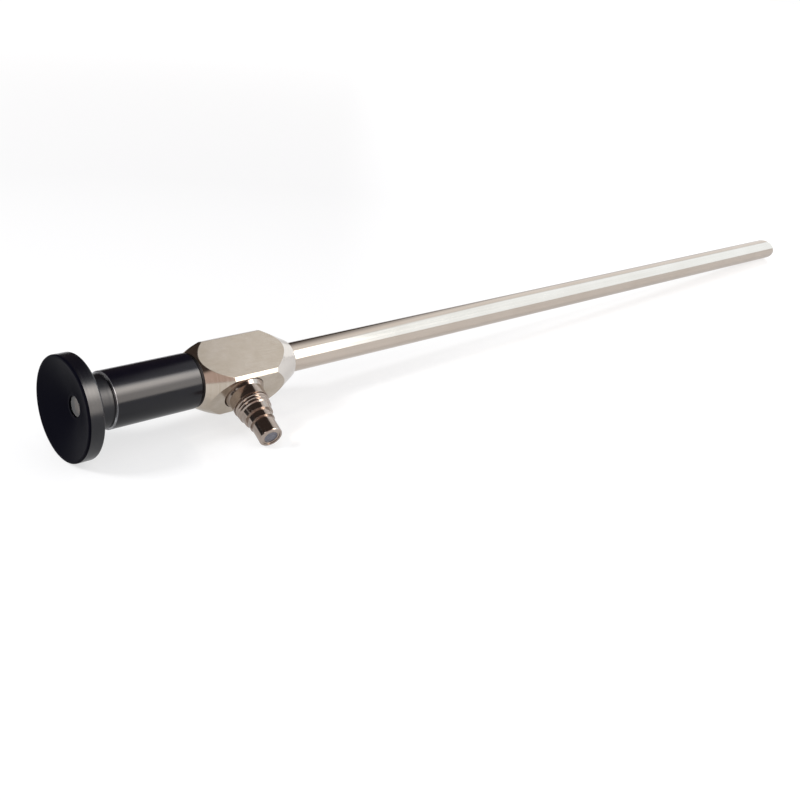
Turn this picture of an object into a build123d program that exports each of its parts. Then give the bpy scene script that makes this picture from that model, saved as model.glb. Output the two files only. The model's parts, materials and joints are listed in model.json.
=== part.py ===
from build123d import *
from math import asin, atan, atan2, cos, degrees, hypot, radians, sin, tan
import os

os.makedirs("parts", exist_ok=True)

# Rigid endoscope, 10 mm shaft, 30 degree view, lying on a table.
# Frame: origin at the centre of the eyepiece face, X along the table toward the tip, Z up.
# Every station is a distance along the optical axis from the eyepiece face.
# A roll angle is 0 at the top of the axis and grows toward the light post.

# Clearances
seat_gap = 0.02
seal_gap = 0.01

# Eyepiece cup
eyepiece_radius = 16.0
eyepiece_rim = 4.8
rim_round = 0.5
dish_radius = 15.2
dish_floor_radius = 4.0
dish_depth = 3.9
aperture_radius = 3.2
aperture_lip = 0.3
neck_start = 8.6
neck_radius = 8.2
neck_end = 12.3
window_seat_radius = 4.55
window_thickness = 1.5
window_ring_length = 1.8
window_ring_bore = 3.5

# Ocular
ocular_cell_radius = 5.6
ocular_cell_wall = 0.8
ocular_cell_length = 18.0
ocular_cell_lip = 0.7
ocular_lip_bore = 4.2
crown_thickness = 3.0
flint_thickness = 1.4
ocular_spacer_length = 5.2
ocular_spacer_wall = 0.6
field_lens_thickness = 2.6
ocular_ring_length = 1.4
crown_sag = 0.7
cement_sag = 0.9
flint_sag = 0.3
field_sag = 0.5

# Grip sleeve
sleeve_radius = 8.9
sleeve_bore = 7.6
sleeve_length = 29.7
sleeve_chamfer = 0.4
cup_spigot_length = 6.0
body_spigot_length = 8.0
seal_groove_width = 1.4
seal_section_radius = 0.55
cup_seal_setback = 2.8
body_seal_setback = 4.2

# Body: a turned billet milled to a square with narrow corner flats
body_length = 38.0
flat_width = 18.0
flat_shift = 0.95
corner_chamfer = 1.0
collar_radius = 8.65
collar_length = 0.8
billet_radius = 12.95
shoulder_length = 9.0
shoulder_mid = 4.1
shoulder_mid_radius = 11.0
front_cone_length = 12.3
front_cone_radius = 6.65
front_face_radius = 6.2
front_edge_length = 0.5
chamber_lead = 4.4
chamber_length = 9.0

# Light post
post_setback = 16.4
post_lean = 7.5
flat_skew = 6.0
post_length = 30.0
post_bore = 2.22
post_spigot_start = 6.0
post_spigot_radius = 4.5
flange_seat = 8.5
flange_radius = 6.9
flange_edge = 9.6
barrel_start = 12.0
barrel_radius = 5.9
thread_start = 15.6
thread_count = 3
thread_pitch = 1.12
thread_depth = 0.4
thread_radius = 5.65
thread_taper = 0.12
post_sleeve_radius = 4.75
post_sleeve_end = 21.2
post_neck_radius = 4.15
post_neck_end = 23.8
catch_groove_radius = 3.6
catch_groove_width = 0.8
post_end_radius = 3.8
post_end_round = 0.5
ferrule_wall = 0.66
ferrule_length = 7.0
ferrule_recess = 0.2
fibre_recess = 0.4

# Shaft
working_length = 330.0
sheath_radius = 5.0
sheath_wall = 0.4
sheath_shank_step = 0.2
sheath_relief = 0.3
view_angle = 30.0
tube_radius = 3.5
tube_wall = 0.35
tube_setback = 14.0
field_stop_bore = 2.0
field_stop_thickness = 0.5
field_stop_depth = 1.0

# Relay of rod lenses
rod_count = 8
rod_spacer_length = 7.4
rod_spacer_wall = 0.45
rod_bevel = 0.25
relay_setback = 2.0

# Objective
cell_wall = 0.35
cell_lead = 6.1
distal_window_thickness = 1.0
distal_window_recess = 0.1
front_lens_thickness = 1.3
front_lens_hollow = 0.6
front_lens_curve = 2.6
prism_length = 7.5
objective_lens_thickness = 2.8
objective_sag = 0.5
objective_spacer_length = 1.6

sleeve_start = neck_end
body_start = sleeve_start + sleeve_length
body_front = body_start + body_length
tip_end = body_front + working_length
post_station = body_start + post_setback
chamber_start = post_station - chamber_lead
chamber_end = chamber_start + chamber_length
bevel_reach = sheath_radius * tan(radians(view_angle))
bevel_station = tip_end - bevel_reach
rim_contact = eyepiece_rim - rim_round

# Resting pose: the rim, the tip and the end of the light post all touch the table.
# The tilt and the roll depend on each other, so both are settled in a few passes.
post_roll = 110.0
for settle in range(5):
    tip_contact = bevel_station - bevel_reach * cos(radians(post_roll))
    tilt = atan((eyepiece_radius - sheath_radius) / (tip_contact - rim_contact))
    rim_height = eyepiece_radius * cos(tilt) + rim_contact * sin(tilt)
    foot_height = rim_height - post_station * sin(tilt)
    end_centre = post_length - post_end_round
    end_corner = post_end_radius - post_end_round
    dip = asin((foot_height - post_end_round) / hypot(end_centre, end_corner)) - atan2(end_corner, end_centre)
    drop = sin(dip) + sin(radians(post_lean)) * sin(tilt)
    post_roll = 90 + degrees(asin(drop / (cos(radians(post_lean)) * cos(tilt))))

axis_dir = Vector(cos(tilt), 0, -sin(tilt))
up_dir = Vector(sin(tilt), 0, cos(tilt))
side_dir = Vector(0, -1, 0)
optic_axis = Axis((0, 0, 0), axis_dir)
optic_section = Plane(origin=(0, 0, 0), x_dir=axis_dir, z_dir=side_dir)


def radial(roll):
    """Unit vector square to the optical axis at a roll angle."""
    return up_dir * cos(radians(roll)) + side_dir * sin(radians(roll))


def across(station, roll=0.0):
    """Plane square to the optical axis, its X at the roll angle."""
    return Plane(origin=axis_dir * station, x_dir=radial(roll), z_dir=axis_dir)


lean = radians(post_lean)
post_foot = axis_dir * post_station
post_dir = radial(post_roll) * cos(lean) - axis_dir * sin(lean)
post_axis = Axis(post_foot, post_dir)
post_section = Plane(origin=post_foot, x_dir=post_dir, z_dir=radial(post_roll + 90))
label_roll = post_roll + flat_skew - 90


def post_across(reach):
    """Plane square to the light post, a reach away from the optical axis."""
    return Plane(origin=post_foot + post_dir * reach, x_dir=radial(post_roll + 90), z_dir=post_dir)


# The tip is cut square to the direction of view, which looks away from the light post.
view_dir = axis_dir * cos(radians(view_angle)) - radial(post_roll) * sin(radians(view_angle))
view_face = Plane(origin=axis_dir * bevel_station, x_dir=radial(post_roll + 90), z_dir=view_dir)


# Stations of the pieces inside the eyepiece
window_station = dish_depth + aperture_lip
window_ring_station = window_station + window_thickness + seat_gap
ocular_station = window_ring_station + window_ring_length + seat_gap
spigot_radius = sleeve_bore - seat_gap
cup_spigot_end = neck_end + cup_spigot_length
groove_floor = sleeve_bore - 2 * seal_section_radius - 2 * seal_gap
cup_seal_station = neck_end + cup_seal_setback

# Black eyepiece cup with the dished face
with BuildPart() as eyepiece_cup:
    with BuildSketch(optic_section):
        with BuildLine():
            Polyline(
                (0, dish_radius),
                (0, eyepiece_radius),
                (eyepiece_rim, eyepiece_radius),
                (neck_start, neck_radius),
                (neck_end, neck_radius),
                (neck_end, spigot_radius),
                (cup_spigot_end, spigot_radius),
                (cup_spigot_end, ocular_cell_radius),
                (ocular_station, ocular_cell_radius),
                (ocular_station, window_seat_radius),
                (window_station, window_seat_radius),
                (window_station, aperture_radius),
                (dish_depth, aperture_radius),
                (dish_depth, dish_floor_radius),
                close=True,
            )
        make_face()
        with Locations((cup_seal_station, spigot_radius)):
            Rectangle(seal_groove_width, 2 * (spigot_radius - groove_floor), mode=Mode.SUBTRACT)
    revolve(axis=optic_axis)
    rim_edges = eyepiece_cup.edges().filter_by(GeomType.CIRCLE).group_by(SortBy.RADIUS)[-1]
    fillet(rim_edges, radius=rim_round)
eyepiece_cup.part.label = "eyepiece_cup"
export_step(eyepiece_cup.part, "parts/eyepiece_cup.step")

with BuildPart() as eyepiece_window:
    with BuildSketch(across(window_station + seat_gap)):
        Circle(window_seat_radius - seat_gap)
    extrude(amount=window_thickness - seat_gap)
eyepiece_window.part.label = "eyepiece_window"
export_step(eyepiece_window.part, "parts/eyepiece_window.step")

with BuildPart() as window_ring:
    with BuildSketch(across(window_ring_station)):
        Circle(window_seat_radius - seat_gap)
        Circle(window_ring_bore, mode=Mode.SUBTRACT)
    extrude(amount=window_ring_length)
window_ring.part.label = "window_ring"
export_step(window_ring.part, "parts/window_ring.step")

# Ocular: a cell with a cemented doublet, a spacer, the field lens and a ring
cell_outer = ocular_cell_radius - seat_gap
cell_bore = cell_outer - ocular_cell_wall
ocular_lens_radius = cell_bore - seat_gap
cell_start = ocular_station + seat_gap
cell_end = cell_start + ocular_cell_length
spacer_bore = ocular_lens_radius - ocular_spacer_wall
# Share of a lens face's sag that lies inside the edge it rests on
lip_share = (ocular_lip_bore / ocular_lens_radius) ** 2
spacer_share = (spacer_bore / ocular_lens_radius) ** 2
crown_front = cell_start + ocular_cell_lip + seat_gap - crown_sag * lip_share
crown_back = crown_front + crown_thickness
flint_front = crown_back + seal_gap
flint_back = flint_front + flint_thickness
spacer_front = flint_back - flint_sag * spacer_share + seat_gap
spacer_back = spacer_front + ocular_spacer_length
field_front = spacer_back + seat_gap - field_sag * spacer_share
field_back = field_front + field_lens_thickness
ring_front = field_back - field_sag * spacer_share + seat_gap

with BuildPart() as ocular_cell:
    with BuildSketch(optic_section):
        with BuildLine():
            Polyline(
                (cell_start, ocular_lip_bore),
                (cell_start, cell_outer),
                (cell_end, cell_outer),
                (cell_end, cell_bore),
                (cell_start + ocular_cell_lip, cell_bore),
                (cell_start + ocular_cell_lip, ocular_lip_bore),
                close=True,
            )
        make_face()
    revolve(axis=optic_axis)
ocular_cell.part.label = "ocular_cell"
export_step(ocular_cell.part, "parts/ocular_cell.step")

with BuildPart() as eye_crown_lens:
    with BuildSketch(optic_section):
        with BuildLine():
            TangentArc((crown_front, 0), (crown_front + crown_sag, ocular_lens_radius), tangent=(0, 1))
            Line((crown_front + crown_sag, ocular_lens_radius), (crown_back - cement_sag, ocular_lens_radius))
            TangentArc((crown_back, 0), (crown_back - cement_sag, ocular_lens_radius), tangent=(0, 1))
            Line((crown_back, 0), (crown_front, 0))
        make_face()
    revolve(axis=optic_axis)
eye_crown_lens.part.label = "eye_crown_lens"
export_step(eye_crown_lens.part, "parts/eye_crown_lens.step")

with BuildPart() as eye_flint_lens:
    with BuildSketch(optic_section):
        with BuildLine():
            TangentArc((flint_front, 0), (flint_front - cement_sag, ocular_lens_radius), tangent=(0, 1))
            Line((flint_front - cement_sag, ocular_lens_radius), (flint_back - flint_sag, ocular_lens_radius))
            TangentArc((flint_back, 0), (flint_back - flint_sag, ocular_lens_radius), tangent=(0, 1))
            Line((flint_back, 0), (flint_front, 0))
        make_face()
    revolve(axis=optic_axis)
eye_flint_lens.part.label = "eye_flint_lens"
export_step(eye_flint_lens.part, "parts/eye_flint_lens.step")

with BuildPart() as ocular_spacer:
    with BuildSketch(across(spacer_front)):
        Circle(ocular_lens_radius)
        Circle(spacer_bore, mode=Mode.SUBTRACT)
    extrude(amount=ocular_spacer_length)
ocular_spacer.part.label = "ocular_spacer"
export_step(ocular_spacer.part, "parts/ocular_spacer.step")

with BuildPart() as field_lens:
    with BuildSketch(optic_section):
        with BuildLine():
            TangentArc((field_front, 0), (field_front + field_sag, ocular_lens_radius), tangent=(0, 1))
            Line((field_front + field_sag, ocular_lens_radius), (field_back - field_sag, ocular_lens_radius))
            TangentArc((field_back, 0), (field_back - field_sag, ocular_lens_radius), tangent=(0, 1))
            Line((field_back, 0), (field_front, 0))
        make_face()
    revolve(axis=optic_axis)
field_lens.part.label = "field_lens"
export_step(field_lens.part, "parts/field_lens.step")

with BuildPart() as ocular_ring:
    with BuildSketch(across(ring_front)):
        Circle(ocular_lens_radius)
        Circle(spacer_bore, mode=Mode.SUBTRACT)
    extrude(amount=ocular_ring_length)
ocular_ring.part.label = "ocular_ring"
export_step(ocular_ring.part, "parts/ocular_ring.step")

# Black grip sleeve between the cup and the body
with BuildPart() as grip_sleeve:
    with BuildSketch(across(sleeve_start + seat_gap)):
        Circle(sleeve_radius)
        Circle(sleeve_bore, mode=Mode.SUBTRACT)
    extrude(amount=sleeve_length - 2 * seat_gap)
    outer_edges = grip_sleeve.edges().filter_by(GeomType.CIRCLE).group_by(SortBy.RADIUS)[-1]
    chamfer(outer_edges, length=sleeve_chamfer)
grip_sleeve.part.label = "grip_sleeve"
export_step(grip_sleeve.part, "parts/grip_sleeve.step")

body_seal_station = body_start - body_seal_setback
seal_centre_radius = sleeve_bore - seal_gap - seal_section_radius
with BuildPart() as eyepiece_seal:
    with BuildSketch(optic_section):
        with Locations((cup_seal_station, seal_centre_radius)):
            Circle(seal_section_radius)
    revolve(axis=optic_axis)
eyepiece_seal.part.label = "eyepiece_seal"
export_step(eyepiece_seal.part, "parts/eyepiece_seal.step")

with BuildPart() as body_seal:
    with BuildSketch(optic_section):
        with Locations((body_seal_station, seal_centre_radius)):
            Circle(seal_section_radius)
    revolve(axis=optic_axis)
body_seal.part.label = "body_seal"
export_step(body_seal.part, "parts/body_seal.step")

# Steel body: the milled square cut to the turned outline, then spigot, bores and post seat
shoulder_start = body_start + collar_length
shoulder_end = shoulder_start + shoulder_length
cone_end = body_front - front_edge_length
cone_start = cone_end - front_cone_length
spigot_start = body_start - body_spigot_length
fibre_outer = sheath_radius - sheath_wall - seat_gap
fibre_inner = tube_radius + seat_gap
shank_radius = sheath_radius - sheath_shank_step
post_seat_radius = flange_radius + seat_gap

with BuildPart() as main_body:
    with BuildSketch(across(body_start, label_roll)) as square:
        with Locations((0, flat_shift)):
            Rectangle(flat_width, flat_width)
        chamfer(square.vertices(), length=corner_chamfer)
    extrude(amount=body_length)
    with BuildSketch(optic_section):
        with BuildLine():
            Polyline((body_start, 0), (body_start, collar_radius), (shoulder_start, collar_radius))
            ThreePointArc(
                (shoulder_start, collar_radius),
                (shoulder_start + shoulder_mid, shoulder_mid_radius),
                (shoulder_end, billet_radius),
            )
            Polyline(
                (shoulder_end, billet_radius),
                (cone_start, billet_radius),
                (cone_end, front_cone_radius),
                (body_front, front_face_radius),
                (body_front, 0),
                (body_start, 0),
            )
        make_face()
    revolve(axis=optic_axis, mode=Mode.INTERSECT)
    with BuildSketch(optic_section):
        with BuildLine():
            Polyline(
                (spigot_start, 0),
                (spigot_start, spigot_radius),
                (body_start, spigot_radius),
                (body_start, 0),
                close=True,
            )
        make_face()
        with Locations((body_seal_station, spigot_radius)):
            Rectangle(seal_groove_width, 2 * (spigot_radius - groove_floor), mode=Mode.SUBTRACT)
    revolve(axis=optic_axis)
    with BuildSketch(across(spigot_start)):
        Circle(fibre_inner)
    extrude(amount=chamber_end - spigot_start, mode=Mode.SUBTRACT)
    with BuildSketch(across(chamber_start)):
        Circle(fibre_outer + seat_gap)
    extrude(amount=chamber_length, mode=Mode.SUBTRACT)
    with BuildSketch(across(chamber_end)):
        Circle(shank_radius + seat_gap)
    extrude(amount=body_front - chamber_end, mode=Mode.SUBTRACT)
    with BuildSketch(post_across(0)):
        Circle(post_bore)
    extrude(amount=post_spigot_start, mode=Mode.SUBTRACT)
    with BuildSketch(post_across(post_spigot_start - seat_gap)):
        Circle(post_spigot_radius + seat_gap)
    extrude(amount=flange_seat - post_spigot_start, mode=Mode.SUBTRACT)
    with BuildSketch(post_across(flange_seat - seat_gap)):
        Circle(post_seat_radius)
    extrude(amount=post_length, mode=Mode.SUBTRACT)
main_body.part.label = "main_body"
export_step(main_body.part, "parts/main_body.step")

# Light post, turned in one piece: spigot, flange, barrel, thread, taper, neck, catch groove and end
ferrule_seat_radius = post_bore + ferrule_wall + seat_gap
ferrule_start = post_length - ferrule_recess - ferrule_length
thread_end = thread_start + thread_count * thread_pitch
thread_outline = []
for turn in range(thread_count):
    crest = thread_radius - turn * thread_taper
    left = thread_start + turn * thread_pitch
    thread_outline.append((left, crest - thread_depth))
    thread_outline.append((left + 0.3 * thread_pitch, crest))
    thread_outline.append((left + 0.7 * thread_pitch, crest))
thread_root = thread_radius - (thread_count - 1) * thread_taper - thread_depth

with BuildPart() as light_post:
    with BuildSketch(post_section):
        with BuildLine():
            Polyline(
                (post_spigot_start, post_bore),
                (post_spigot_start, post_spigot_radius),
                (flange_seat, post_spigot_radius),
                (flange_seat, flange_radius),
                (flange_edge, flange_radius),
                (barrel_start, barrel_radius),
                (thread_start, barrel_radius),
                *thread_outline,
                (thread_end, thread_root),
                (post_sleeve_end, post_sleeve_radius),
                (post_sleeve_end, post_neck_radius),
                (post_neck_end, post_neck_radius),
                (post_neck_end, catch_groove_radius),
                (post_neck_end + catch_groove_width, catch_groove_radius),
                (post_neck_end + catch_groove_width, post_end_radius),
                (post_length, post_end_radius),
                (post_length, ferrule_seat_radius),
                (ferrule_start - seat_gap, ferrule_seat_radius),
                (ferrule_start - seat_gap, post_bore),
                close=True,
            )
        make_face()
    revolve(axis=post_axis)
    end_edges = light_post.edges().filter_by(GeomType.CIRCLE).group_by(post_axis)[-1]
    fillet(end_edges.sort_by(SortBy.RADIUS)[-1], radius=post_end_round)
light_post.part.label = "light_post"
export_step(light_post.part, "parts/light_post.step")

with BuildPart() as post_ferrule:
    with BuildSketch(post_across(ferrule_start)):
        Circle(post_bore + ferrule_wall)
        Circle(post_bore, mode=Mode.SUBTRACT)
    extrude(amount=ferrule_length)
post_ferrule.part.label = "post_ferrule"
export_step(post_ferrule.part, "parts/post_ferrule.step")

# Glass fibre: a round bundle down the post that spreads round the inner tube to the tip
shaft_run = tip_end + sheath_radius
with BuildPart() as light_fibres:
    with BuildSketch(across(chamber_start + seat_gap)):
        Circle(fibre_outer)
    extrude(amount=shaft_run - chamber_start)
    with BuildSketch(post_across(0)):
        Circle(post_bore - seat_gap)
    extrude(amount=post_length - fibre_recess)
    with BuildSketch(across(chamber_start)):
        Circle(fibre_inner)
    extrude(amount=2 * shaft_run, mode=Mode.SUBTRACT)
    split(bisect_by=view_face, keep=Keep.BOTTOM)
light_fibres.part.label = "light_fibres"
export_step(light_fibres.part, "parts/light_fibres.step")

# Outer sheath, with its end in the body turned down a little for the solder
with BuildPart() as outer_sheath:
    with BuildSketch(across(chamber_end + seat_gap)):
        Circle(shank_radius)
    extrude(amount=shaft_run - chamber_end)
    with BuildSketch(across(body_front + sheath_relief)):
        Circle(sheath_radius)
    extrude(amount=shaft_run - body_front)
    with BuildSketch(across(chamber_end)):
        Circle(sheath_radius - sheath_wall)
    extrude(amount=2 * shaft_run, mode=Mode.SUBTRACT)
    split(bisect_by=view_face, keep=Keep.BOTTOM)
outer_sheath.part.label = "outer_sheath"
export_step(outer_sheath.part, "parts/outer_sheath.step")

tube_start = body_start - tube_setback
tube_bore = tube_radius - tube_wall
with BuildPart() as optical_tube:
    with BuildSketch(across(tube_start)):
        Circle(tube_radius)
        Circle(tube_bore, mode=Mode.SUBTRACT)
    extrude(amount=shaft_run - tube_start)
    split(bisect_by=view_face, keep=Keep.BOTTOM)
optical_tube.part.label = "optical_tube"
export_step(optical_tube.part, "parts/optical_tube.step")

optic_radius = tube_bore - seat_gap
with BuildPart() as field_stop:
    with BuildSketch(across(tube_start + field_stop_depth)):
        Circle(optic_radius)
        Circle(field_stop_bore, mode=Mode.SUBTRACT)
    extrude(amount=field_stop_thickness)
field_stop.part.label = "field_stop"
export_step(field_stop.part, "parts/field_stop.step")

# Stations of the objective, from the slanted tip back to the front of its cell
objective_bore = optic_radius - cell_wall
objective_radius = objective_bore - seat_gap
window_back = distal_window_recess + distal_window_thickness
lens_front = window_back + seat_gap
lens_back = lens_front + front_lens_thickness
prism_front = lens_back + seat_gap
prism_start = bevel_station - prism_front / cos(radians(view_angle)) - prism_length
objective_spacer_bore = objective_radius - rod_spacer_wall
rest_sag = objective_sag * (objective_spacer_bore / objective_radius) ** 2
second_back = prism_start - seat_gap
second_front = second_back - objective_lens_thickness
objective_spacer_start = second_front + rest_sag - seat_gap - objective_spacer_length
first_back = objective_spacer_start - seat_gap + rest_sag
first_front = first_back - objective_lens_thickness
objective_cell_start = first_front - cell_lead

# Relay: equal glass rods and short spacer tubes fill the tube up to the objective
relay_start = body_start + relay_setback
relay_run = objective_cell_start - seat_gap - relay_start
relay_pitch = (relay_run + rod_spacer_length + 2 * seat_gap) / rod_count
rod_length = relay_pitch - rod_spacer_length - 2 * seat_gap
for number in range(rod_count):
    rod_start = relay_start + number * relay_pitch
    with BuildPart() as rod_lens:
        with BuildSketch(across(rod_start)):
            Circle(optic_radius)
        extrude(amount=rod_length)
        chamfer(rod_lens.edges().filter_by(GeomType.CIRCLE), length=rod_bevel)
    rod_lens.part.label = f"rod_lens_{number + 1}"
    export_step(rod_lens.part, f"parts/rod_lens_{number + 1}.step")

for number in range(rod_count - 1):
    spacer_start = relay_start + number * relay_pitch + rod_length + seat_gap
    with BuildPart() as rod_spacer:
        with BuildSketch(across(spacer_start)):
            Circle(optic_radius)
            Circle(optic_radius - rod_spacer_wall, mode=Mode.SUBTRACT)
        extrude(amount=rod_spacer_length)
    rod_spacer.part.label = f"rod_spacer_{number + 1}"
    export_step(rod_spacer.part, f"parts/rod_spacer_{number + 1}.step")

# Objective: a cell behind the slanted tip face, holding everything up to the distal window
with BuildPart() as objective_cell:
    with BuildSketch(across(objective_cell_start)):
        Circle(optic_radius)
        Circle(objective_bore, mode=Mode.SUBTRACT)
    extrude(amount=shaft_run - objective_cell_start)
    split(bisect_by=view_face, keep=Keep.BOTTOM)
objective_cell.part.label = "objective_cell"
export_step(objective_cell.part, "parts/objective_cell.step")

with BuildPart() as distal_window:
    with BuildSketch(across(prism_start)):
        Circle(objective_radius)
    extrude(amount=shaft_run - prism_start)
    split(bisect_by=view_face.offset(-distal_window_recess), keep=Keep.BOTTOM)
    split(bisect_by=view_face.offset(-window_back), keep=Keep.TOP)
distal_window.part.label = "distal_window"
export_step(distal_window.part, "parts/distal_window.step")

# Diverging front lens, hollow on the side toward the prism
hollow_centre = lens_back + front_lens_curve - front_lens_hollow
with BuildPart() as front_lens:
    with BuildSketch(across(prism_start)):
        Circle(objective_radius)
    extrude(amount=shaft_run - prism_start)
    split(bisect_by=view_face.offset(-lens_front), keep=Keep.BOTTOM)
    split(bisect_by=view_face.offset(-lens_back), keep=Keep.TOP)
    with Locations(view_face.offset(-hollow_centre)):
        Sphere(front_lens_curve, mode=Mode.SUBTRACT)
front_lens.part.label = "front_lens"
export_step(front_lens.part, "parts/front_lens.step")

with BuildPart() as deflecting_prism:
    with BuildSketch(across(prism_start)):
        Circle(objective_radius)
    extrude(amount=shaft_run - prism_start)
    split(bisect_by=view_face.offset(-prism_front), keep=Keep.BOTTOM)
deflecting_prism.part.label = "deflecting_prism"
export_step(deflecting_prism.part, "parts/deflecting_prism.step")

with BuildPart() as objective_lens_1:
    with BuildSketch(optic_section):
        with BuildLine():
            TangentArc((first_front, 0), (first_front + objective_sag, objective_radius), tangent=(0, 1))
            Line((first_front + objective_sag, objective_radius), (first_back - objective_sag, objective_radius))
            TangentArc((first_back, 0), (first_back - objective_sag, objective_radius), tangent=(0, 1))
            Line((first_back, 0), (first_front, 0))
        make_face()
    revolve(axis=optic_axis)
objective_lens_1.part.label = "objective_lens_1"
export_step(objective_lens_1.part, "parts/objective_lens_1.step")

with BuildPart() as objective_spacer:
    with BuildSketch(across(objective_spacer_start)):
        Circle(objective_radius)
        Circle(objective_spacer_bore, mode=Mode.SUBTRACT)
    extrude(amount=objective_spacer_length)
objective_spacer.part.label = "objective_spacer"
export_step(objective_spacer.part, "parts/objective_spacer.step")

with BuildPart() as objective_lens_2:
    with BuildSketch(optic_section):
        with BuildLine():
            TangentArc((second_front, 0), (second_front + objective_sag, objective_radius), tangent=(0, 1))
            Line((second_front + objective_sag, objective_radius), (second_back, objective_radius))
            Line((second_back, objective_radius), (second_back, 0))
            Line((second_back, 0), (second_front, 0))
        make_face()
    revolve(axis=optic_axis)
objective_lens_2.part.label = "objective_lens_2"
export_step(objective_lens_2.part, "parts/objective_lens_2.step")
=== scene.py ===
import json
import math

import bpy
from mathutils import Matrix, Vector


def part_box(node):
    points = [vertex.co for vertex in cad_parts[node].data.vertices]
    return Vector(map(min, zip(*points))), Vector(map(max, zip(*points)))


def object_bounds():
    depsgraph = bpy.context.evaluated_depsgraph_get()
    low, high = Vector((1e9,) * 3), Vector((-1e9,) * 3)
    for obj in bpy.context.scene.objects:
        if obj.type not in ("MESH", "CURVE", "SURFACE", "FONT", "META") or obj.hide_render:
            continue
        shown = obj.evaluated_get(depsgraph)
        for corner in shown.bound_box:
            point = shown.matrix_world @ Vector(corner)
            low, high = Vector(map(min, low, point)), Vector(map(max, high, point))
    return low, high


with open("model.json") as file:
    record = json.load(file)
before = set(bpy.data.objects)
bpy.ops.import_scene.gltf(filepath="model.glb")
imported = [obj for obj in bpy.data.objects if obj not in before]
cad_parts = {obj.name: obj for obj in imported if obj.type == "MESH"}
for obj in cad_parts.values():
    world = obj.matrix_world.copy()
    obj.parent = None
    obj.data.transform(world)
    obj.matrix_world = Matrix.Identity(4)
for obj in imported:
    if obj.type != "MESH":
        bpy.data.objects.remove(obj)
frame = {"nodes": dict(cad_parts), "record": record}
cadBox = [list(corner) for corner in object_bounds()]
nodes = frame["nodes"]
mounts = {mount["name"]: mount for mount in frame["record"]["mounts"]}
print("frame loaded:", len(nodes), "nodes")


# directions and places on the instrument, in metres
postEndRound = 0.0005
shaftDir = Vector(mounts["shaft"]["axis"]).normalized()
upDir = Vector((-shaftDir.z, 0, shaftDir.x))
postDir = Vector(mounts["light_post_end"]["axis"]).normalized()
postMid = Vector(mounts["light_post_end"]["pos_m"])
postTip = postMid + postDir * (mounts["light_post_end"]["dims"]["length_mm"] / 2000 + postEndRound)
tableHeight = cadBox[0][2]


class Wire:
    # A shader socket. Arithmetic on wires adds Math nodes, and make() adds any other node.
    def __init__(self, tree, socket=None):
        self.tree = tree
        self.socket = socket

    def make(self, kind, settings=None, sockets=None, out=0):
        node = self.tree.nodes.new(kind)
        for key, value in (settings or {}).items():
            setattr(node, key, value)
        for key, value in (sockets or {}).items():
            if isinstance(value, Wire):
                self.tree.links.new(value.socket, node.inputs[key])
            else:
                node.inputs[key].default_value = value
        return Wire(self.tree, node.outputs[out])

    def maths(self, operation, *others):
        # a Math node that has this wire first
        return self.make("ShaderNodeMath", {"operation": operation}, dict(enumerate((self, *others))))

    def __add__(self, other):
        return self.maths("ADD", other)

    __radd__ = __add__

    def __sub__(self, other):
        return self.maths("SUBTRACT", other)

    def __rsub__(self, other):
        return self.make("ShaderNodeMath", {"operation": "SUBTRACT"}, {0: other, 1: self})

    def __mul__(self, other):
        return self.maths("MULTIPLY", other)

    __rmul__ = __mul__

    def __truediv__(self, other):
        return self.maths("DIVIDE", other)

    def __pow__(self, other):
        return self.maths("POWER", other)

    def __gt__(self, other):
        return self.maths("GREATER_THAN", other)

    def __lt__(self, other):
        return self.maths("LESS_THAN", other)

    def larger(self, other):
        return self.maths("MAXIMUM", other)

    def ramp(self, low, high):
        # 0 below low, 1 above high, straight between
        return self.make("ShaderNodeMapRange", {"clamp": True},
                         {"Value": self, "From Min": low, "From Max": high})

    def blend(self, first, second):
        # one colour where this wire is 0, the other where it is 1
        return self.make("ShaderNodeMix", {"data_type": "RGBA"}, {0: self, 6: first, 7: second}, out=2)

    def part(self, index):
        return self.make("ShaderNodeSeparateXYZ", None, {0: self}, out=index)

    def dot(self, direction):
        return self.make("ShaderNodeVectorMath", {"operation": "DOT_PRODUCT"},
                         {0: self, 1: direction}, out=1)


def noise(coords, scale, detail=3.0, roughness=0.5):
    return coords.make("ShaderNodeTexNoise", None,
                       {"Vector": coords, "Scale": scale, "Detail": detail, "Roughness": roughness})


def vector(x, y, z):
    return x.make("ShaderNodeCombineXYZ", None, {0: x, 1: y, 2: z})


def surfaceCoords(wire, turn=None, origin=None):
    # Object coordinates, turned by a 3 x 3 matrix about an origin when they are given
    place = wire.make("ShaderNodeTexCoord", None, None, out=3)
    if turn is None:
        return place
    shift = -(turn @ origin) if origin else Vector((0, 0, 0))
    return wire.make("ShaderNodeMapping", {"vector_type": "POINT"},
                     {"Vector": place, "Location": shift, "Rotation": turn.to_euler("XYZ")})


def opticCoords(wire):
    # x runs along the optical axis, z is up from it
    rows = Matrix((shaftDir, (0, 1, 0), upDir))
    return surfaceCoords(wire, rows)


def postCoords(wire):
    # x runs along the light post, from its open end outward
    across = postDir.cross(shaftDir).normalized()
    rows = Matrix((postDir, postDir.cross(across), across))
    return surfaceCoords(wire, rows, postTip)


def radiusOf(coords):
    y, z = coords.part(1), coords.part(2)
    return (y * y + z * z) ** 0.5


def turnedLines(coords, spacing):
    # noise that is nearly the same all round the axis, as the rings of a lathe tool are
    slow = coords.part(1) * 0.02
    return noise(vector(coords.part(0), radiusOf(coords), slow), 1 / spacing, 2.0, 0.6)


def drawnLines(coords, spacing, reach=60.0):
    # noise drawn out along the axis, so it makes fine lengthwise lines
    x = coords.part(0) * (1 / reach)
    return noise(vector(x, coords.part(1), coords.part(2)), 1 / spacing, 2.0, 0.6)


def newMaterial(name, constants):
    material = bpy.data.materials.new(name)
    material.use_nodes = True
    shader = material.node_tree.nodes["Principled BSDF"]
    for key, value in constants.items():
        shader.inputs[key].default_value = value
    return material, shader, Wire(material.node_tree)


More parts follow.
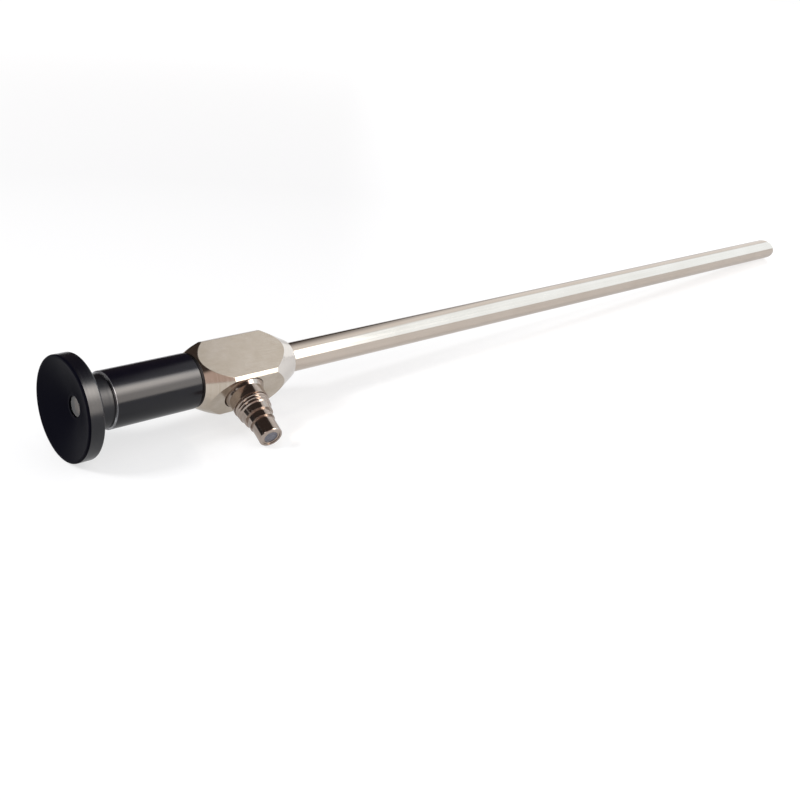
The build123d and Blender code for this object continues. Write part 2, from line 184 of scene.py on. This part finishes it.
def plug(shader, **wires):
    names = {"colour": "Base Color", "roughness": "Roughness", "normal": "Normal", "metallic": "Metallic"}
    for key, wire in wires.items():
        wire.tree.links.new(wire.socket, shader.inputs[names[key]])


def outputOf(tree):
    return tree.nodes["Material Output"].inputs["Surface"]


def bump(height, distance, strength, below=None):
    sockets = {"Height": height, "Distance": distance, "Strength": strength}
    if below is not None:
        sockets["Normal"] = below
    return height.make("ShaderNodeBump", None, sockets)


def softEdges(wire, radius):
    # rounds the light on sharp edges over this radius
    return wire.make("ShaderNodeBevel", {"samples": 4}, {"Radius": radius})


def dress(material, *names):
    for name in names:
        slots = nodes[name].material_slots
        if len(slots) == 0:
            nodes[name].data.materials.append(material)
        for slot in slots:
            slot.material = material


# camera
camera = {
    "place": (-0.12629, -0.25625, 0.13702),
    "turn": (67.880, -4.912, -43.528),     # degrees, the last one about the upright axis
    "lens": 47.62,
    "sensor": 36,
    "shiftY": -0.0625,
}


def placeCamera(settings):
    data = bpy.data.cameras.new("camera")
    data.lens = settings["lens"]
    data.sensor_width = settings["sensor"]
    data.shift_y = settings["shiftY"]
    data.clip_start, data.clip_end = 0.01, 50
    eye = bpy.data.objects.new("camera", data)
    eye.location = settings["place"]
    eye.rotation_euler = [math.radians(angle) for angle in settings["turn"]]
    bpy.context.scene.collection.objects.link(eye)
    bpy.context.scene.camera = eye


# table
table = {
    "size": 7.0,
    "colour": (0.38, 0.38, 0.385, 1),
    "roughness": 0.12,
    "mottleScale": 6.0,
    "lift": 0.66,                          # added for the camera, so that the bare table is white
    "farLift": 0.25,                       # the same, far from the instrument
    "farFrom": (0.35, 1.2),
    "glossLift": 0.46,                     # added for what the metal reflects
}


def buildTable(settings):
    half = settings["size"] / 2
    mesh = bpy.data.meshes.new("table_top")
    corners = [(-half, -half), (half, -half), (half, half), (-half, half)]
    mesh.from_pydata([(x, y, tableHeight) for x, y in corners], [], [(0, 1, 2, 3)])
    top = bpy.data.objects.new("table_top", mesh)
    bpy.context.scene.collection.objects.link(top)
    material, shader, wire = newMaterial("table_white", {
        "Base Color": settings["colour"], "Specular IOR Level": 0.4,
    })
    place = surfaceCoords(wire)
    mottle = noise(place, settings["mottleScale"], 2.0)
    plug(shader, roughness=mottle * 0.04 + settings["roughness"])
    seen = wire.make("ShaderNodeLightPath", None, None, out=0)
    gloss = wire.make("ShaderNodeLightPath", None, None, out=3)
    reach = place.make("ShaderNodeVectorMath", {"operation": "LENGTH"}, {0: place}, out=1)
    lift = reach.ramp(*settings["farFrom"]) * settings["farLift"] + settings["lift"]
    level = seen * lift + gloss * settings["glossLift"]
    glow = wire.make("ShaderNodeEmission", None, {"Color": (1, 1, 1, 1), "Strength": level})
    matt = wire.make("ShaderNodeBsdfDiffuse", None, {"Color": settings["colour"]})
    shiny = Wire(wire.tree, shader.outputs[0])
    face = wire.make("ShaderNodeMixShader", None, {0: gloss, 1: shiny, 2: matt})
    both = wire.make("ShaderNodeAddShader", None, {0: face, 1: glow})
    wire.tree.links.new(both.socket, outputOf(wire.tree))
    mesh.materials.append(material)


# studio
studio = {
    "fill": (0.62, 0.62, 0.63, 1),         # what matt surfaces get from all round
    "white": (1.0, 1.0, 1.0, 1),           # the paper behind and beside the table
    "left": (0.62, 0.50, 0.47, 1),         # the dim wall on the left
    "leftEnd": (0.20, 0.36),
    "dark": (0.050, 0.038, 0.034, 1),      # the unlit room behind
    "darkTop": 136.0,                      # angle up from the back at which it ends
    "darkSteps": ((0.0, 0.3, 32.0), (0.475, 0.534, 32.0), (0.534, 0.80, 44.0),
                  (0.64, 0.76, 34.0), (0.87, 0.93, 60.0)),   # from x, to x, fall of that angle
    "darkSoft": (6.0, 36.0),               # its blur, near and far along the shaft
    "softFrom": (0.54, 0.64),
    "warm": (1.0, 0.93, 0.86, 1),          # the soft boxes, as the body sees them
    "farColour": (0.83, 0.945, 1.035, 1),  # and as the far end of the shaft sees them
    "farFrom": (0.55, 0.66),
    "farLevel": 1.62,
    "boxAngles": (109.0, 125.0, 134.0, 152.0),
    "boxShift": 42.0,                      # how far the box's lower edge comes down toward the tip
    "shiftFrom": (0.60, 0.76),
    "boxLevel": 12.5,
    "boxEnd": (0.90, 0.95),
    "frontAngles": (134.0, 152.0, 175.0, 180.0),
    "frontLevel": 5.0,
    "lampEnd": (-0.75, -0.68),             # a third box, low on the far left
    "lampAngles": (78.0, 84.0, 106.0, 112.0),
    "lampHeight": (0.35, 0.45),
    "lampLevel": 5.0,
}
keyLamp = {
    "place": (0.55, -0.75, 1.1),
    "aim": (0.16, 0.0, 0.0),
    "size": (1.4, 0.9),
    "power": 3.0,
    "colour": (1.0, 0.985, 0.965),
}
sideLamp = {
    "place": (-0.75, 0.30, 0.75),
    "aim": (0.05, 0.0, 0.0),
    "size": (0.28, 0.28),
    "power": 7.5,
    "colour": (1.0, 1.0, 1.0),
}


def lightLamp(name, settings):
    data = bpy.data.lights.new(name, "AREA")
    data.shape = "RECTANGLE"
    data.size, data.size_y = settings["size"]
    data.energy = settings["power"]
    data.color = settings["colour"]
    lamp = bpy.data.objects.new(name, data)
    lamp.location = settings["place"]
    away = Vector(settings["place"]) - Vector(settings["aim"])
    lamp.rotation_euler = away.to_track_quat("Z", "Y").to_euler()
    lamp.visible_camera = False
    lamp.visible_glossy = False            # metal reflects the boxes of the studio instead
    bpy.context.scene.collection.objects.link(lamp)


def humpOf(wire, low, full, dim, high):
    return wire.ramp(low, full) * (1 - wire.ramp(dim, high))


def buildStudio(settings):
    # The room that the metal reflects, by direction: x toward the tip, and the angle
    # that runs from 0 at the back over 90 straight up to 180 at the front.
    world = bpy.data.worlds.new("studio")
    world.use_nodes = True
    bpy.context.scene.world = world
    wire = Wire(world.node_tree)
    toward = wire.make("ShaderNodeTexCoord", None, None, out=0)
    x = toward.part(0)
    angle = toward.part(2).maths("ARCTAN2", toward.part(1)) * math.degrees(1)

    right = x.ramp(*settings["leftEnd"])
    edge = settings["darkTop"]
    for low, high, fall in settings["darkSteps"]:
        edge = edge - x.ramp(low, high) * fall
    near, far = settings["darkSoft"]
    soft = x.ramp(*settings["softFrom"]) * (far - near) + near
    above = ((angle - edge) / soft).ramp(-1.0, 1.0)
    wall = right.blend(settings["left"], settings["white"])
    room = above.blend(settings["dark"], wall)

    side = right * (1 - x.ramp(*settings["boxEnd"]))
    low, full, dim, high = settings["boxAngles"]
    lowered = angle + x.ramp(*settings["shiftFrom"]) * settings["boxShift"]
    box = lowered.ramp(low, full) * (1 - angle.ramp(dim, high)) * side
    front = humpOf(angle, *settings["frontAngles"]) * side
    distant = x.ramp(*settings["farFrom"])
    boxColour = distant.blend(settings["warm"], settings["farColour"])
    room = (box + front).ramp(0.0, 1.0).blend(room, boxColour)
    lamp = (1 - x.ramp(*settings["lampEnd"])) * humpOf(angle, *settings["lampAngles"])
    lamp = lamp * toward.part(2).ramp(*settings["lampHeight"])
    room = lamp.blend(room, settings["white"])

    boxLevel = distant * (settings["farLevel"] - settings["boxLevel"]) + settings["boxLevel"]
    frontLevel = distant * (settings["farLevel"] - settings["frontLevel"]) + settings["frontLevel"]
    level = (box * boxLevel + front * frontLevel).larger(lamp * settings["lampLevel"]).larger(1.0)
    seen = wire.make("ShaderNodeLightPath", None, None, out=0)
    gloss = wire.make("ShaderNodeLightPath", None, None, out=3)
    clear = wire.make("ShaderNodeLightPath", None, None, out=6)
    shiny = gloss.larger(clear)
    colour = seen.blend(shiny.blend(settings["fill"], room), (1, 1, 1, 1))
    strength = shiny * (1 - seen) * (level - 1) + 1
    back = world.node_tree.nodes["Background"]
    world.node_tree.links.new(colour.socket, back.inputs["Color"])
    world.node_tree.links.new(strength.socket, back.inputs["Strength"])


bpy.context.scene.view_settings.view_transform = "Standard"
placeCamera(camera)
buildTable(table)
buildStudio(studio)
lightLamp("key_light", keyLamp)
lightLamp("side_light", sideLamp)
print("camera, table and light placed")


# black eyepiece
eyepiece = {
    "colour": (0.0030, 0.0030, 0.0065, 1),
    "worn": (0.008, 0.008, 0.012, 1),
    "wornFrom": 0.0150,                    # radius outside which the rim is worn
    "gloss": 0.48,
    "dishGloss": 0.02,
    "roughness": 0.08,
    "dishRoughness": 0.37,
    "dishRadius": 0.0151,
    "dishDepth": 0.0044,
    "faceDepth": 0.0006,
    "neckFrom": (0.0068, 0.0076),
    "cloudScale": 90.0,
    "ringSpacing": 0.0005,
    "ringDepth": 0.000016,
    "edge": 0.00025,
}


def eyepieceBlack(settings):
    # satin on the rim and neck, and matt in the dish
    material, shader, wire = newMaterial("eyepiece_black", {"Specular IOR Level": settings["gloss"]})
    coords = opticCoords(wire)
    x, r = coords.part(0), radiusOf(coords)
    rings = turnedLines(coords, settings["ringSpacing"])
    cloud = noise(coords, settings["cloudScale"], 4.0)
    worn = (r > settings["wornFrom"]) * cloud.ramp(0.45, 0.75)
    colour = worn.blend(settings["colour"], settings["worn"])
    neck = x.ramp(*settings["neckFrom"])
    rough = rings * 0.20 + cloud * 0.08 + neck * 0.14 + settings["roughness"]
    normal = bump(rings, settings["ringDepth"], 0.5, softEdges(wire, settings["edge"]))
    plug(shader, colour=colour, roughness=rough, normal=normal)
    matt = wire.tree.nodes.new("ShaderNodeBsdfPrincipled")
    matt.inputs["Specular IOR Level"].default_value = settings["dishGloss"]
    plug(matt, colour=colour, roughness=cloud * 0.10 + settings["dishRoughness"], normal=normal)
    inside = (x < settings["dishDepth"]) * (r < settings["dishRadius"])
    dish = inside.larger(x < settings["faceDepth"])
    mixed = wire.make("ShaderNodeMixShader", None, {0: dish, 1: Wire(wire.tree, shader.outputs[0]),
                                                    2: Wire(wire.tree, matt.outputs[0])})
    wire.tree.links.new(mixed.socket, outputOf(wire.tree))
    return material


# black grip
grip = {
    "colour": (0.0025, 0.0023, 0.0065, 1),
    "worn": (0.005, 0.0045, 0.010, 1),
    "paintedHighlight": (0.50, 0.50, 0.52, 1),         # painted highlight: a pale metal line along the rear edge
    "highlightReach": (0.0005, 0.0009),
    "gloss": 0.38,
    "roughness": 0.08,
    "cloudScale": 120.0,
    "lineSpacing": 0.00035,
    "lineDepth": 0.000008,
    "edge": 0.0002,
}


def gripBlack(settings):
    material, shader, wire = newMaterial("grip_black", {"Specular IOR Level": settings["gloss"]})
    coords = opticCoords(wire)
    lines = drawnLines(coords, settings["lineSpacing"])
    cloud = noise(coords, settings["cloudScale"], 4.0)
    colour = cloud.ramp(0.4, 0.9).blend(settings["colour"], settings["worn"])
    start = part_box("grip_sleeve")[0][0]
    near, far = settings["highlightReach"]
    # painted highlight: the rear edge is turned to pale metal, in patches
    paintedHighlight = (1 - coords.part(0).ramp(start + near, start + far)) * cloud.ramp(0.25, 0.5)
    rough = lines * 0.10 + cloud * 0.08 + settings["roughness"]
    plug(shader, colour=paintedHighlight.blend(colour, settings["paintedHighlight"]), roughness=rough, metallic=paintedHighlight,
         normal=bump(lines, settings["lineDepth"], 0.5, softEdges(wire, settings["edge"])))
    return material


dress(eyepieceBlack(eyepiece), "eyepiece_cup")
dress(gripBlack(grip), "grip_sleeve")
print("eyepiece and grip finished")


# steel body
body = {
    "colour": (0.50, 0.43, 0.345, 1),
    "pale": (0.66, 0.59, 0.515, 1),
    "paintedFrontLight": (0.84, 0.80, 0.76, 1),       # painted light: the front cone, made paler than the rest
    "shade": (0.02, 0.018, 0.018, 1),      # painted shade: the collar beside the grip, darkened as a gap
    "collarEnd": 0.0429,
    "upperRoll": 27.8,                     # degrees that the upper flat is turned to the front
    "upperFrom": 0.0090,                   # its surface lies further out than this
    "reflectionEdge": (0.00092, 0.00108),        # where the painted reflection on it begins; the flat is lighter beyond this line
    "reflectionShare": 0.35,
    "frontLightShare": 0.9,
    "roughness": 0.11,
    "cloudScale": 160.0,
    "grain": 0.00025,
    "grainReach": 25.0,
    "grainDepth": 0.000009,
    "ringSpacing": 0.0004,
    "edge": 0.00015,
}


def bodySteel(settings):
    # rings on the turned cones, and lengthwise cutter marks on the flats; painted light and painted
    # reflection on the front cone and the upper flat, painted shade on the collar
    material, shader, wire = newMaterial("body_steel", {"Metallic": 1.0})
    coords = opticCoords(wire)
    facing = wire.make("ShaderNodeNewGeometry", None, None, out=1).dot(shaftDir)
    turned = facing.maths("ABSOLUTE").ramp(0.05, 0.15)
    # painted light: faces turned toward the tip get a paler colour
    front = facing.ramp(0.1, 0.3)
    roll = math.radians(settings["upperRoll"])
    outward = coords.dot((0, -math.sin(roll), math.cos(roll)))
    down = coords.dot((0, -math.cos(roll), -math.sin(roll)))
    # painted reflection: the lower part of the upper flat is made lighter
    paintedReflectionBand = down.ramp(*settings["reflectionEdge"]) * (outward > settings["upperFrom"]) * (1 - turned)
    milled = drawnLines(coords, settings["grain"], settings["grainReach"])
    rings = turnedLines(coords, settings["ringSpacing"])
    lines = turned * (rings - milled) + milled
    cloud = noise(coords, settings["cloudScale"], 5.0, 0.6)
    colour = (cloud * 0.6 + lines * 0.4).ramp(0.3, 0.7).blend(settings["colour"], settings["pale"])
    paintedLight = paintedReflectionBand * settings["reflectionShare"] + front * settings["frontLightShare"]
    # painted light and painted reflection blended into the steel colour
    colour = paintedLight.blend(colour, settings["paintedFrontLight"])
    # painted shade: the collar beside the grip is made dark
    collarShade = 1 - coords.part(0).ramp(settings["collarEnd"] - 0.0001, settings["collarEnd"])
    colour = collarShade.blend(colour, settings["shade"])
    rough = lines * 0.10 + cloud * 0.08 + collarShade * 0.30 - turned * 0.06 + settings["roughness"]
    plug(shader, colour=colour, roughness=rough,
         normal=bump(lines, settings["grainDepth"], 0.5, softEdges(wire, settings["edge"])))
    return material


# light post
post = {
    "colour": (0.90, 0.865, 0.83, 1),
    "stained": (0.62, 0.54, 0.48, 1),
    "satin": (0.36, 0.29, 0.245, 1),       # the flange and the thread
    "satinFrom": -0.0088,                  # measured from the open end
    "roughness": 0.01,
    "cloudScale": 300.0,
    "ringSpacing": 0.00022,
    "ringDepth": 0.0000025,
    "edge": 0.00012,
}


def postSteel(settings):
    material, shader, wire = newMaterial("post_steel", {"Metallic": 1.0})
    coords = postCoords(wire)
    rings = turnedLines(coords, settings["ringSpacing"])
    cloud = noise(coords, settings["cloudScale"], 4.0)
    shine = (rings * 0.5 + cloud * 0.5).ramp(0.35, 0.75)
    colour = shine.blend(settings["stained"], settings["colour"])
    satin = coords.part(0) < settings["satinFrom"]
    colour = (satin * (1 - rings * 0.4)).blend(colour, settings["satin"])
    rough = rings * 0.10 + cloud * 0.08 + satin * 0.05 + settings["roughness"]
    plug(shader, colour=colour, roughness=rough,
         normal=bump(rings, settings["ringDepth"], 0.5, softEdges(wire, settings["edge"])))
    return material


# shaft
shaft = {
    "colour": (0.66, 0.58, 0.51, 1),
    "dull": (0.58, 0.50, 0.43, 1),
    "roughness": 0.03,
    "cloudScale": 60.0,
    "lineSpacing": 0.00045,
    "lineReach": 200.0,
    "lineDepth": 0.000005,
    "edge": 0.0001,
}


def shaftSteel(settings):
    material, shader, wire = newMaterial("shaft_steel", {"Metallic": 1.0})
    coords = opticCoords(wire)
    lines = drawnLines(coords, settings["lineSpacing"], settings["lineReach"])
    cloud = noise(coords, settings["cloudScale"], 4.0)
    colour = (lines * 0.5 + cloud * 0.5).ramp(0.3, 0.7).blend(settings["dull"], settings["colour"])
    rough = lines * 0.08 + cloud * 0.08 + settings["roughness"]
    plug(shader, colour=colour, roughness=rough,
         normal=bump(lines, settings["lineDepth"], 0.4, softEdges(wire, settings["edge"])))
    return material


dress(bodySteel(body), "main_body")
dress(postSteel(post), "light_post", "post_ferrule")
dress(shaftSteel(shaft), "outer_sheath")
print("steel finished")


# glass
glass = {
    "window_glass": {"colour": (0.60, 0.46, 0.36, 1), "roughness": 0.015, "index": 1.5},
    "tip_glass": {"colour": (0.95, 0.98, 0.98, 1), "roughness": 0.005, "index": 1.76},
    "lens_glass": {"colour": (0.94, 0.98, 0.97, 1), "roughness": 0.015, "index": 1.6},
    "rod_glass": {"colour": (0.93, 0.98, 0.95, 1), "roughness": 0.045, "index": 1.62},
}


def clearGlass(name):
    settings = glass[name]
    material, shader, wire = newMaterial(name, {
        "Base Color": settings["colour"], "Transmission Weight": 1.0, "IOR": settings["index"],
    })
    haze = noise(surfaceCoords(wire), 400.0, 3.0)
    plug(shader, roughness=haze * 0.03 + settings["roughness"])
    return material


# light fibres
fibre = {
    "core": (0.36, 0.37, 0.45, 1),
    "seam": (0.09, 0.09, 0.12, 1),
    # painted shade from the recess, on one side of the open end
    "recessShade": (0.05, 0.045, 0.055, 1),
    "recessShadeFrom": (-0.0016, 0.0012),        # where the painted shade begins, across the open end of the post
    "strand": 0.00018,
    "roughness": 0.16,
}


def fibreEnds(settings):
    # packed round strands: cells with a dark seam round each
    material, shader, wire = newMaterial("fibre_ends", {
        "Specular IOR Level": 0.6, "Coat Weight": 0.5, "Coat Roughness": 0.05,
    })
    coords = surfaceCoords(wire)
    cells = wire.make("ShaderNodeTexVoronoi", {"feature": "DISTANCE_TO_EDGE"},
                      {"Vector": coords, "Scale": 1 / settings["strand"]})
    shade = noise(coords, 900.0, 2.0)
    lit = cells.ramp(0.02, 0.25) * (shade * 0.6 + 0.6)
    colour = lit.blend(settings["seam"], settings["core"])
    end = postCoords(wire)
    # painted shade: one side of the fibre ends is made dark
    across = end.part(2) * 0.8 - end.part(1) * 0.6 + shade * 0.0006
    colour = across.ramp(*settings["recessShadeFrom"]).blend(colour, settings["recessShade"])
    plug(shader, colour=colour, roughness=shade * 0.1 + settings["roughness"])
    return material


# blackened pieces inside
inner = {
    "colour": (0.020, 0.019, 0.019, 1),
    "worn": (0.045, 0.043, 0.042, 1),
    "roughness": 0.32,
    "ringSpacing": 0.0003,
    "ringDepth": 0.00001,
}


def innerBlack(settings):
    material, shader, wire = newMaterial("inner_black", {"Specular IOR Level": 0.4})
    coords = opticCoords(wire)
    rings = turnedLines(coords, settings["ringSpacing"])
    cloud = noise(coords, 200.0, 4.0)
    plug(shader, colour=cloud.ramp(0.45, 0.8).blend(settings["colour"], settings["worn"]),
         roughness=cloud * 0.1 + rings * 0.1 + settings["roughness"],
         normal=bump(rings, settings["ringDepth"], 0.5))
    return material


# steel tubes inside
tube = {
    "colour": (0.50, 0.48, 0.45, 1),
    "dull": (0.40, 0.38, 0.35, 1),
    "roughness": 0.21,
    "lineSpacing": 0.0003,
    "lineReach": 100.0,
    "lineDepth": 0.000006,
}


def tubeSteel(settings):
    material, shader, wire = newMaterial("tube_steel", {"Metallic": 1.0})
    coords = opticCoords(wire)
    lines = drawnLines(coords, settings["lineSpacing"], settings["lineReach"])
    cloud = noise(coords, 150.0, 4.0)
    plug(shader, colour=cloud.ramp(0.3, 0.7).blend(settings["dull"], settings["colour"]),
         roughness=lines * 0.12 + cloud * 0.06 + settings["roughness"],
         normal=bump(lines, settings["lineDepth"], 0.4))
    return material


# seals
rubber = {
    "colour": (0.018, 0.018, 0.018, 1),
    "bloom": (0.035, 0.035, 0.034, 1),
    "roughness": 0.53,
    "grainDepth": 0.00002,
}


def sealRubber(settings):
    material, shader, wire = newMaterial("seal_rubber", {"Specular IOR Level": 0.3})
    coords = opticCoords(wire)
    grain = noise(coords, 2500.0, 3.0)
    cloud = noise(coords, 250.0, 3.0)
    plug(shader, colour=cloud.ramp(0.4, 0.8).blend(settings["colour"], settings["bloom"]),
         roughness=grain * 0.15 + settings["roughness"],
         normal=bump(grain, settings["grainDepth"], 0.4))
    return material


rods = [name for name in nodes if name.startswith("rod_lens_")]
rodSpacers = [name for name in nodes if name.startswith("rod_spacer_")]
dress(clearGlass("window_glass"), "eyepiece_window")
dress(clearGlass("tip_glass"), "distal_window")
dress(clearGlass("lens_glass"), "eye_crown_lens", "eye_flint_lens", "field_lens",
      "front_lens", "deflecting_prism", "objective_lens_1", "objective_lens_2")
dress(clearGlass("rod_glass"), *rods)
dress(fibreEnds(fibre), "light_fibres")
dress(innerBlack(inner), "window_ring", "ocular_cell", "ocular_spacer", "ocular_ring",
      "field_stop", "objective_spacer", *rodSpacers)
dress(tubeSteel(tube), "optical_tube", "objective_cell")
dress(sealRubber(rubber), "eyepiece_seal", "body_seal")
print("glass, fibre and inner pieces finished")
